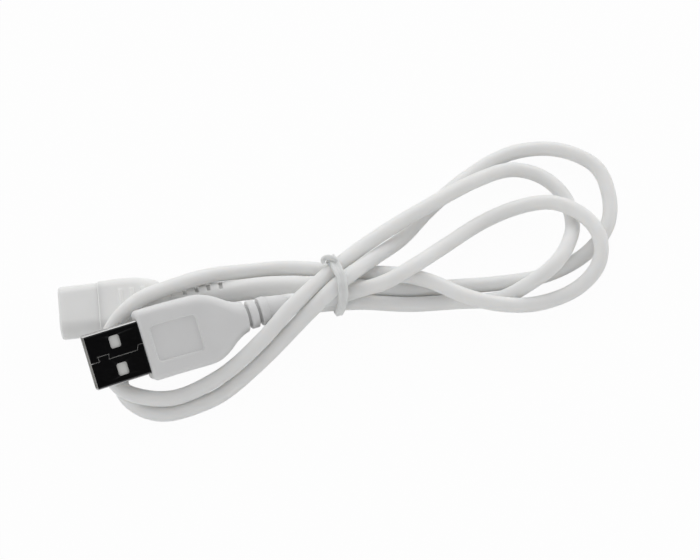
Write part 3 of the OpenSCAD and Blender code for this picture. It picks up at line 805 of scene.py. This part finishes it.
# The top of the ribbon, which is whatever lies higher in its section than this, bulges where
# it goes under, between these depths in the picture
TIE_TOP_FROM = 0.12
TIE_BULGE, TIE_BULGES = 0.25, (5.2, 6.8)
# The ways right, up and nearer in the picture
ALONG_X = np.array([1.0, 0, 0])
RISE = np.array([0, math.sin(CAM_TILT), math.cos(CAM_TILT)])
NEARER = np.array([0, -math.cos(CAM_TILT), math.sin(CAM_TILT)])
# The loose end as it shows in the picture, as (right, up)
TIE_END = [[-0.45, 2.95], [-0.71, 4.06], [-1.26, 4.87], [-2.06, 5.31], [-2.85, 5.33],
           [-3.49, 5.0], [-3.62, 4.52], [-3.2, 4.34]]
TIE_END_HALF_T, TIE_END_HALF_W, TIE_END_CORNER = 0.56, 0.95, 0.4
# How near to the camera the loose end lies, how much nearer it comes, and between which lengths
TIE_END_LEVEL, TIE_END_LIFT, TIE_END_LIFTS = 9.9, 0.6, (0.6, 3.0)


def tie_outline(r):
    """The convex line round the strands, r away from their middles, as (y, z)."""
    angle = np.radians(np.arange(0, 360, 6))
    ring = np.stack([np.cos(angle), np.sin(angle)], 1) * r
    points = sorted({tuple(np.array(p) + c) for p in TIE_STRANDS for c in ring})

    def half(pts):
        out = []
        for p in pts:
            while len(out) > 1 and (
                (out[-1][0] - out[-2][0]) * (p[1] - out[-2][1])
                - (out[-1][1] - out[-2][1]) * (p[0] - out[-2][0])
            ) <= 0:
                out.pop()
            out.append(p)
        return out

    return np.array(half(points)[:-1] + half(points[::-1])[:-1])


def ribbon_section():
    """Across the tie: a flat strip with a rounded rim along each edge, as (across, out)."""
    half = TIE_W / 2
    xs = half * np.sin(np.linspace(-1, 1, 33) * math.pi / 2)
    from_edge = np.clip((np.abs(xs) - half + TIE_RIM_W) / TIE_RIM_W, -1, 1)
    rim = TIE_RIM_H * np.cos(from_edge * math.pi / 2)
    top = TIE_T + rim - TIE_TOP_EDGE_H * smoothstep(np.abs(xs), half - TIE_TOP_EDGE_W, half)
    bottom = TIE_LOW_EDGE_H * smoothstep(np.abs(xs), half - TIE_LOW_EDGE_W, half)
    return np.vstack([np.column_stack([xs, top]), np.column_stack([xs, bottom])[::-1]])


def make_tie():
    """The band round the hank, with the table as its lowest level."""
    loop = tie_outline(CORD_R / MM + TIE_ROOM)
    loop = np.vstack([loop, loop[:1]])
    loop = even(np.column_stack([np.zeros(len(loop)), loop]), 0.25)[:-1]
    ahead = np.roll(loop, -1, 0) - np.roll(loop, 1, 0)
    ahead /= np.linalg.norm(ahead, axis=1)[:, None]
    out = np.cross(ahead, ALONG_X)
    across, lift = ribbon_section().T
    height = loop[:, 1] * RISE[1] + loop[:, 2] * RISE[2]
    wide = (across * soft_profile(height, *TIE_NARROWS)[:, None]
            + soft_profile(height, *TIE_BOW)[:, None])
    bulge = TIE_BULGE * (1 - (across / across.max()) ** 2) * (lift > TIE_TOP_FROM)
    thick = lift + bulge * smoothstep(-height, *TIE_BULGES)[:, None]
    rings = loop[:, None] + wide[..., None] * ALONG_X + thick[..., None] * out[:, None]
    verts, faces = skin(rings, closed=True)
    verts = placed(AT_TIE, verts * MM)
    verts[:, 2] = np.maximum(verts[:, 2], 0)
    piece("tie_band", verts, faces, "tie_plastic", ["tie"])


def make_tie_end():
    """The loose end of the tie, which arches over the top and curls in on itself."""
    line = spline([[x, v, 0] for x, v in TIE_END], 8)
    along = lengths(line)
    t = directions(line)
    out = np.cross(NEARER, t[:, :1] * ALONG_X + t[:, 1:2] * RISE)
    level = TIE_END_LEVEL + TIE_END_LIFT * smoothstep(along, *TIE_END_LIFTS)
    middle = line[:, :1] * ALONG_X + line[:, 1:2] * RISE + level[:, None] * NEARER
    section = rounded_section(TIE_END_HALF_T, TIE_END_HALF_W, TIE_END_CORNER, 40)
    size = np.interp(along, [0, 0.4, along[-1] - 0.25, along[-1]], [0.8, 1, 1, 0.7])
    a, b = (size[:, None] * v for v in section.T)
    verts, faces = skin(rings_round(middle, out, np.tile(NEARER, (len(line), 1)), a, b))
    piece("tie_end", verts * MM, faces, "tie_plastic")


make_tie()
make_tie_end()

# ---------------------------------------------------------------- stage and light

FLOOR_HALF = 3.0
# The floor lies this far under the table's level, so that it doesn't flicker through the part
FLOOR_DROP = 0.00002
FLOOR_COLOUR = (0.9, 0.9, 0.9, 1)
# The share of plain white that is seen in the floor; the rest is shaded and shows shadows
FLOOR_WHITE = 0.96
# The room's light at eye level and below, part of the way up, and overhead. The way up is
# measured as the height of the line of sight, from 0 at eye level to 1 overhead
ROOM_LEVEL = (1.0, 1.0, 1.0, 1)
ROOM_PARTWAY, ROOM_PARTWAY_AT = (0.95, 0.95, 0.95, 1), 0.45
ROOM_ABOVE = (0.42, 0.42, 0.425, 1)
ROOM_STRENGTH = 0.97
# The dim place: which way it lies, the cosines at which it starts and is full, and its share
DIM_WAY = Vector((0.41, -0.45, 0.79)).normalized()
DIM_STARTS, DIM_FULL, DIM_SHARE = 0.84, 0.95, 0.08


def make_floor():
    """A floor that is seen as nearly plain white, also in metal, and still takes shadows."""
    h = FLOOR_HALF
    mesh = bpy.data.meshes.new("floor")
    mesh.from_pydata([(-h, -h, 0), (h, -h, 0), (h, h, 0), (-h, h, 0)], [], [(0, 1, 2, 3)])
    floor = bpy.data.objects.new("floor", mesh)
    floor.location.z = -FLOOR_DROP
    bpy.context.scene.collection.objects.link(floor)
    mat, tree, shader = material("floor")
    shader.inputs["Base Color"].default_value = FLOOR_COLOUR
    shader.inputs["Roughness"].default_value = 0.8
    shader.inputs["Specular IOR Level"].default_value = 0.0
    glow = add(tree, "ShaderNodeEmission")
    glow.inputs["Strength"].default_value = 1.0
    rays = add(tree, "ShaderNodeLightPath")
    seen = rays.outputs["Is Camera Ray"]
    for kind in ("Is Glossy Ray", "Is Transmission Ray"):
        either = add(tree, "ShaderNodeMath", operation="MAXIMUM")
        tree.links.new(seen, either.inputs[0])
        tree.links.new(rays.outputs[kind], either.inputs[1])
        seen = either.outputs[0]
    share = add(tree, "ShaderNodeMath", operation="MULTIPLY")
    share.inputs[1].default_value = FLOOR_WHITE
    tree.links.new(seen, share.inputs[0])
    mix = add(tree, "ShaderNodeMixShader")
    tree.links.new(share.outputs[0], mix.inputs["Fac"])
    tree.links.new(shader.outputs[0], mix.inputs[1])
    tree.links.new(glow.outputs[0], mix.inputs[2])
    tree.links.new(mix.outputs[0], tree.nodes["Material Output"].inputs["Surface"])
    mesh.materials.append(mat)


def room_colour(tree):
    """Bright low down all round, darker overhead, dim where the photographer stands."""
    coords = add(tree, "ShaderNodeTexCoord")
    parts = add(tree, "ShaderNodeSeparateXYZ")
    tree.links.new(coords.outputs["Generated"], parts.inputs[0])
    ramp = add(tree, "ShaderNodeValToRGB")
    stops = ramp.color_ramp.elements
    stops[0].position, stops[0].color = 0.0, ROOM_LEVEL
    stops[1].position, stops[1].color = 1.0, ROOM_ABOVE
    stops.new(ROOM_PARTWAY_AT).color = ROOM_PARTWAY
    tree.links.new(parts.outputs["Z"], ramp.inputs["Fac"])
    norm = add(tree, "ShaderNodeVectorMath", operation="NORMALIZE")
    tree.links.new(coords.outputs["Generated"], norm.inputs[0])
    aim = add(tree, "ShaderNodeVectorMath", operation="DOT_PRODUCT")
    aim.inputs[1].default_value = DIM_WAY
    tree.links.new(norm.outputs[0], aim.inputs[0])
    dim = add(tree, "ShaderNodeMapRange", interpolation_type="SMOOTHSTEP")
    dim.inputs["From Min"].default_value = DIM_STARTS
    dim.inputs["From Max"].default_value = DIM_FULL
    dim.inputs["To Min"].default_value = 1.0
    dim.inputs["To Max"].default_value = DIM_SHARE
    tree.links.new(aim.outputs["Value"], dim.inputs["Value"])
    scale = add(tree, "ShaderNodeVectorMath", operation="SCALE")
    tree.links.new(ramp.outputs["Color"], scale.inputs[0])
    tree.links.new(dim.outputs["Result"], scale.inputs["Scale"])
    return scale.outputs["Vector"]


def make_world():
    """A pale room that lights the part, and that the camera sees as plain white."""
    world = bpy.data.worlds.new("world")
    bpy.context.scene.world = world
    world.use_nodes = True
    tree = world.node_tree
    tree.nodes.clear()
    light = add(tree, "ShaderNodeBackground")
    light.inputs["Strength"].default_value = ROOM_STRENGTH
    tree.links.new(room_colour(tree), light.inputs["Color"])
    white = add(tree, "ShaderNodeBackground")
    white.inputs["Color"].default_value = (1, 1, 1, 1)
    rays = add(tree, "ShaderNodeLightPath")
    mix = add(tree, "ShaderNodeMixShader")
    tree.links.new(rays.outputs["Is Camera Ray"], mix.inputs["Fac"])
    tree.links.new(light.outputs[0], mix.inputs[1])
    tree.links.new(white.outputs[0], mix.inputs[2])
    out = add(tree, "ShaderNodeOutputWorld")
    tree.links.new(mix.outputs[0], out.inputs["Surface"])


def make_lamp(name, place, size, power):
    data = bpy.data.lights.new(name, "AREA")
    data.shape = "DISK"
    data.size = size
    data.energy = power
    lamp = bpy.data.objects.new(name, data)
    lamp.location = place
    lamp.rotation_euler = (-Vector(place)).to_track_quat("-Z", "Y").to_euler()
    bpy.context.scene.collection.objects.link(lamp)


make_floor()
make_world()
make_lamp("key", place=(0.1, 1.0, 0.55), size=1.0, power=3.0)
make_lamp("fill", place=(0.75, 0.35, 0.65), size=0.6, power=0.1)
bpy.context.scene.view_settings.view_transform = "Standard"
